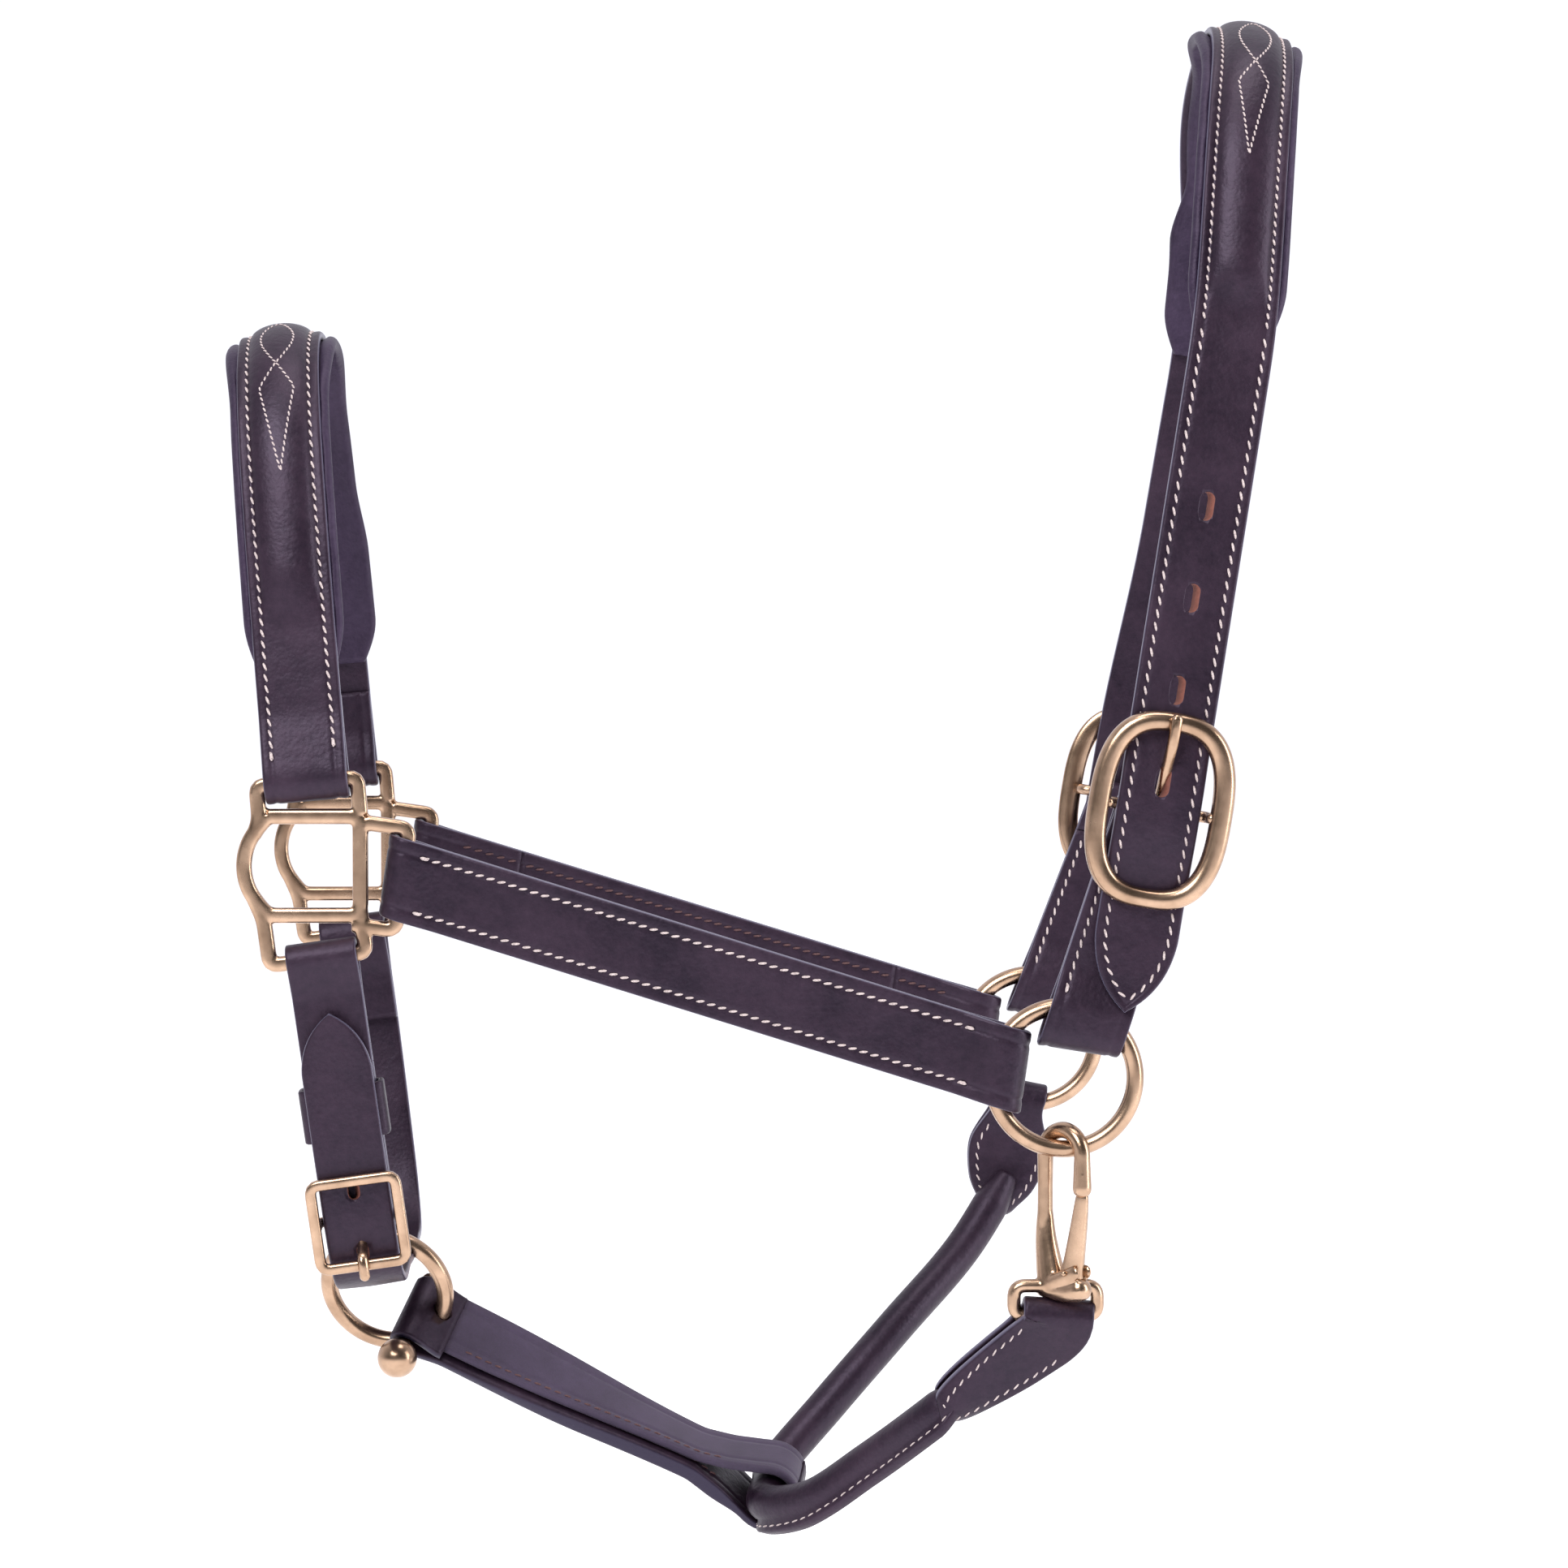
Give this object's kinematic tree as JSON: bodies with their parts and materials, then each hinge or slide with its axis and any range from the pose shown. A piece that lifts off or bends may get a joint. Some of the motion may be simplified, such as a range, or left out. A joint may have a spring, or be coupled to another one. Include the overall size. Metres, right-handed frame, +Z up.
{
  "type": "leather headcollar",
  "caption": "Padded leather headcollar with brass squares, rings and buckles, a rolled throat and a snap, hanging as worn.",
  "frame": {"origin": "underside of the crownpiece lining at the poll, where it rests on the head, on the headcollar's middle plane", "axes": "+Z up, -X to the nose, -Y to the horse's near (left) side"},
  "size_m": [0.3455, 0.1682, 0.4908],
  "materials": {
    "havana_leather": "smooth waxed havana bridle leather with cream lockstitching and dark burnished edges",
    "lining_leather": "soft matt lining leather, a little lighter than the outside",
    "padding": "closed-cell padding cord, hidden between strap and lining",
    "brass": "satin solid brass"
  },
  "bodies": {
    "headpiece": {"crown_strap": "havana_leather", "crown_padding": "padding", "crown_lining": "lining_leather", "near_chape": "havana_leather", "far_chape": "havana_leather", "near_buckle": "brass", "far_buckle": "brass"},
    "near_buckle_tongue": {"near_tongue": "brass"},
    "far_buckle_tongue": {"far_tongue": "brass"},
    "near_side_ring": {"near_ring": "brass"},
    "far_side_ring": {"far_ring": "brass"},
    "face": {"near_cheekpiece": "havana_leather", "far_cheekpiece": "havana_leather", "near_cheek_lining": "lining_leather", "far_cheek_lining": "lining_leather", "noseband_strap": "havana_leather", "noseband_padding": "padding", "noseband_lining": "lining_leather", "near_square": "brass", "far_square": "brass", "chin_hanger": "havana_leather", "chin_strap": "havana_leather", "chin_buckle": "brass", "jaw_strap": "havana_leather", "jaw_lining": "lining_leather", "throat_roll": "havana_leather", "throat_far_chape": "havana_leather", "throat_near_chape": "havana_leather", "snap_body": "brass", "snap_gate_pin": "brass"},
    "chin_buckle_tongue": {"chin_tongue": "brass"},
    "chin_keeper": {"chin_keeper": "havana_leather"},
    "chin_ring": {"chin_ring": "brass"},
    "halter_bolt": {"halter_bolt": "brass"},
    "snap_gate": {"snap_gate": "brass"}
  },
  "joints": [
    {"name": "face_tilt", "type": "hinge", "parent": "headpiece", "child": "face", "pos_m": [-0.0679, 0, -0.3258], "axis": [0, 1, 0], "range_deg": [-15, 3]},
    {"name": "near_ring_turn", "type": "hinge", "parent": "headpiece", "child": "near_side_ring", "pos_m": [-0.0679, -0.067, -0.3258], "axis": [0, 1, 0], "continuous": true},
    {"name": "far_ring_turn", "type": "hinge", "parent": "headpiece", "child": "far_side_ring", "pos_m": [-0.0679, 0.067, -0.3258], "axis": [0, 1, 0], "continuous": true},
    {"name": "near_tongue_lift", "type": "hinge", "parent": "headpiece", "child": "near_buckle_tongue", "pos_m": [-0.0393, -0.069, -0.2423], "axis": [0.9869, 0, -0.1616], "range_deg": [0, 6]},
    {"name": "far_tongue_lift", "type": "hinge", "parent": "headpiece", "child": "far_buckle_tongue", "pos_m": [-0.03437, 0.069, -0.24311], "axis": [-0.9869, 0, 0.1616], "range_deg": [0, 6]},
    {"name": "chin_tongue_lift", "type": "hinge", "parent": "face", "child": "chin_buckle_tongue", "pos_m": [-0.28734, -0.055, -0.37024], "axis": [-0.9907, 0, -0.1357], "range_deg": [0, 6]},
    {"name": "keeper_slide", "type": "slide", "parent": "face", "child": "chin_keeper", "axis": [-0.1355, -0.0607, 0.9889], "range_m": [-0.003, 0.018]},
    {"name": "chin_ring_turn", "type": "hinge", "parent": "face", "child": "chin_ring", "pos_m": [-0.283, 0, -0.401], "axis": [0.2006, 0.9025, 0.3811], "continuous": true},
    {"name": "halter_bolt_turn", "type": "hinge", "parent": "face", "child": "halter_bolt", "pos_m": [-0.273, 0, -0.4096], "axis": [0.3117, 0.7059, 0.6361], "continuous": true},
    {"name": "snap_gate_open", "type": "hinge", "parent": "face", "child": "snap_gate", "pos_m": [-0.0654, -0.06959, -0.3862], "axis": [-0.7193, -0.6947, 0], "range_deg": [0, 18], "stiffness_Nm_per_rad": 0.03}
  ]
}
